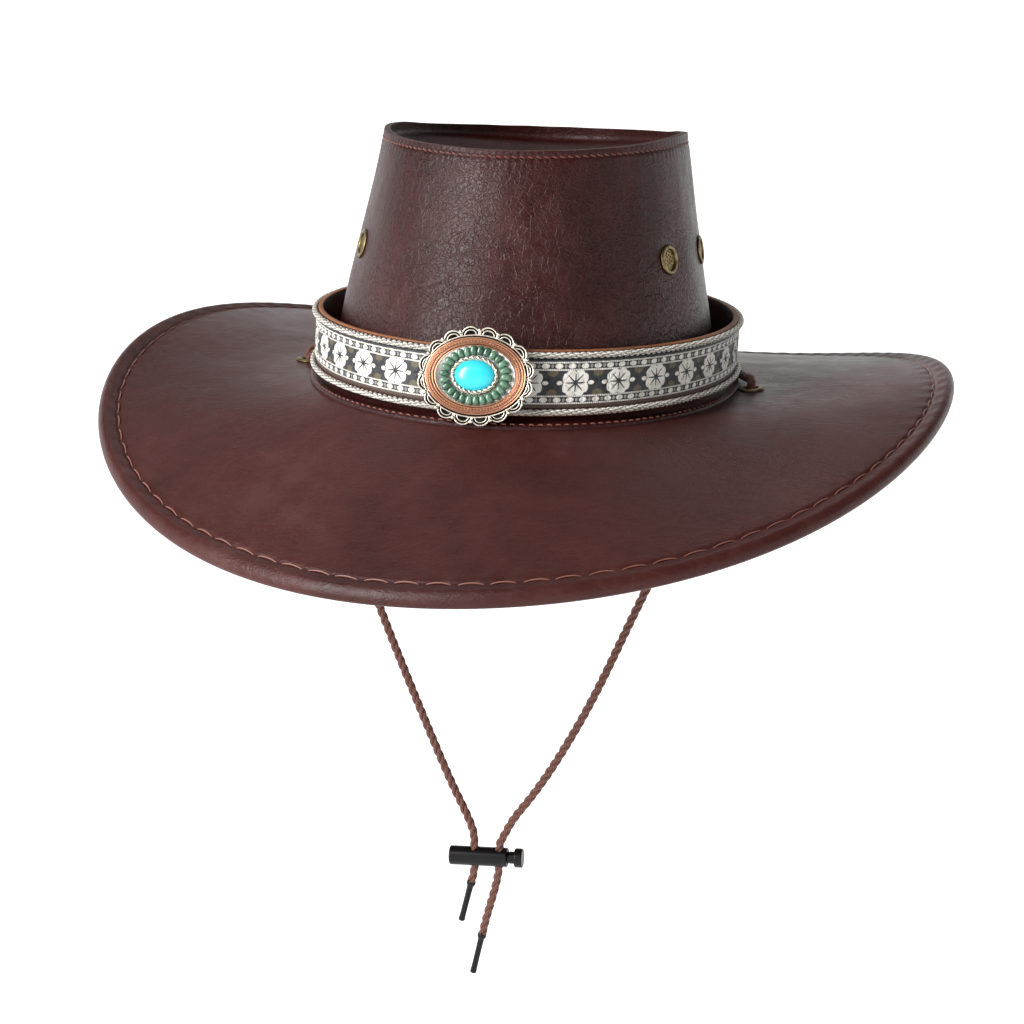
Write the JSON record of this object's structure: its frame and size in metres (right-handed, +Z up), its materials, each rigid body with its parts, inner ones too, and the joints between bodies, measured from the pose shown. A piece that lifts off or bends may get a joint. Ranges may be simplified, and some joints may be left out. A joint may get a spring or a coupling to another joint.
{
  "type": "cowboy hat",
  "caption": "Leather cowboy hat: oval crown with a pinched top seam, drooping brim with a rolled edge, woven hatband with an oval stone concho, and a chin cord with a lock.",
  "frame": {"origin": "centre of the head opening, in the plane where the crown is sewn to the brim", "axes": "+Z up through the crown, -Y towards the hat's front, where the concho is, +X towards the wearer's left"},
  "size_m": [0.3834, 0.4167, 0.4142],
  "materials": {
    "crown_leather": "satin, fine grain",
    "brim_leather": "satin, fine grain",
    "lining_cloth": "satin cloth",
    "sweatband_leather": "matt",
    "brim_stiffener": "pressed board",
    "steel": "plain",
    "antique_brass": "antiqued, worn on the high spots",
    "band_leather": "cut edge, waxed",
    "ribbon_weave": "jacquard, silver and charcoal",
    "silver_braid": "twisted metallic yarn",
    "antique_silver": "antiqued",
    "bright_silver": "polished",
    "copper": "stamped and darkened",
    "green_beads": "polished stone",
    "turquoise": "polished stone",
    "chin_cord_twist": "twisted waxed leather",
    "black_plastic": "gloss"
  },
  "bodies": {
    "hat": {"crown_side": "crown_leather", "crown_tip": "crown_leather", "crown_lining": "lining_cloth", "crown_lining_tip": "lining_cloth", "sweatband": "sweatband_leather", "brim_upper": "brim_leather", "brim_core": "brim_stiffener", "brim_lower": "brim_leather", "brim_edge_roll": "brim_leather", "brim_edge_wire": "steel", "vent_eyelet_front_right": "antique_brass", "vent_eyelet_rear_right": "antique_brass", "vent_eyelet_front_left": "antique_brass", "vent_eyelet_rear_left": "antique_brass", "vent_washer_front_right": "antique_brass", "vent_washer_rear_right": "antique_brass", "vent_washer_front_left": "antique_brass", "vent_washer_rear_left": "antique_brass", "vent_screen_front_right": "antique_brass", "vent_screen_rear_right": "antique_brass", "vent_screen_front_left": "antique_brass", "vent_screen_rear_left": "antique_brass", "cord_eyelet_left": "antique_brass", "cord_eyelet_right": "antique_brass", "cord_eyelet_washer_left": "antique_brass", "cord_eyelet_washer_right": "antique_brass", "chin_cord_back": "chin_cord_twist"},
    "hatband": {"hatband_strap": "band_leather", "hatband_ribbon": "ribbon_weave", "hatband_braid_lower": "silver_braid", "hatband_braid_upper": "silver_braid", "hatband_rivets": "antique_brass", "concho_plate": "antique_silver", "concho_granules": "antique_silver", "concho_rim": "copper", "concho_dish": "bright_silver", "concho_beads": "green_beads", "concho_bezel": "antique_silver", "concho_stone": "turquoise", "concho_post": "antique_silver", "concho_screw": "steel"},
    "chin_cord": {"chin_cord_left": "chin_cord_twist", "chin_cord_right": "chin_cord_twist"},
    "cord_lock": {"lock_barrel": "black_plastic", "lock_spring": "steel", "cord_tail_left": "chin_cord_twist", "cord_tail_right": "chin_cord_twist", "aglet_left": "black_plastic", "aglet_right": "black_plastic"},
    "lock_plunger": {"lock_plunger": "black_plastic"}
  },
  "joints": [
    {"name": "hatband_lift", "type": "slide", "parent": "hat", "child": "hatband", "axis": [0, 0, 1], "range_m": [0, 0.12]},
    {"name": "chin_cord_swing", "type": "hinge", "parent": "hat", "child": "chin_cord", "pos_m": [0, -0.003, -0.006], "axis": [1, 0, 0], "range_deg": [-40, 40]},
    {"name": "cord_lock_slide", "type": "slide", "parent": "chin_cord", "child": "cord_lock", "axis": [0, 0, 1], "range_m": [-0.005, 0.08], "deforming": ["chin_cord_left", "chin_cord_right"]},
    {"name": "lock_plunger_press", "type": "slide", "parent": "cord_lock", "child": "lock_plunger", "axis": [-0.9976, 0, -0.0698], "range_m": [0, 0.003], "stiffness_N_per_m": 400, "springref_m": -0.002, "deforming": ["lock_spring"]}
  ]
}
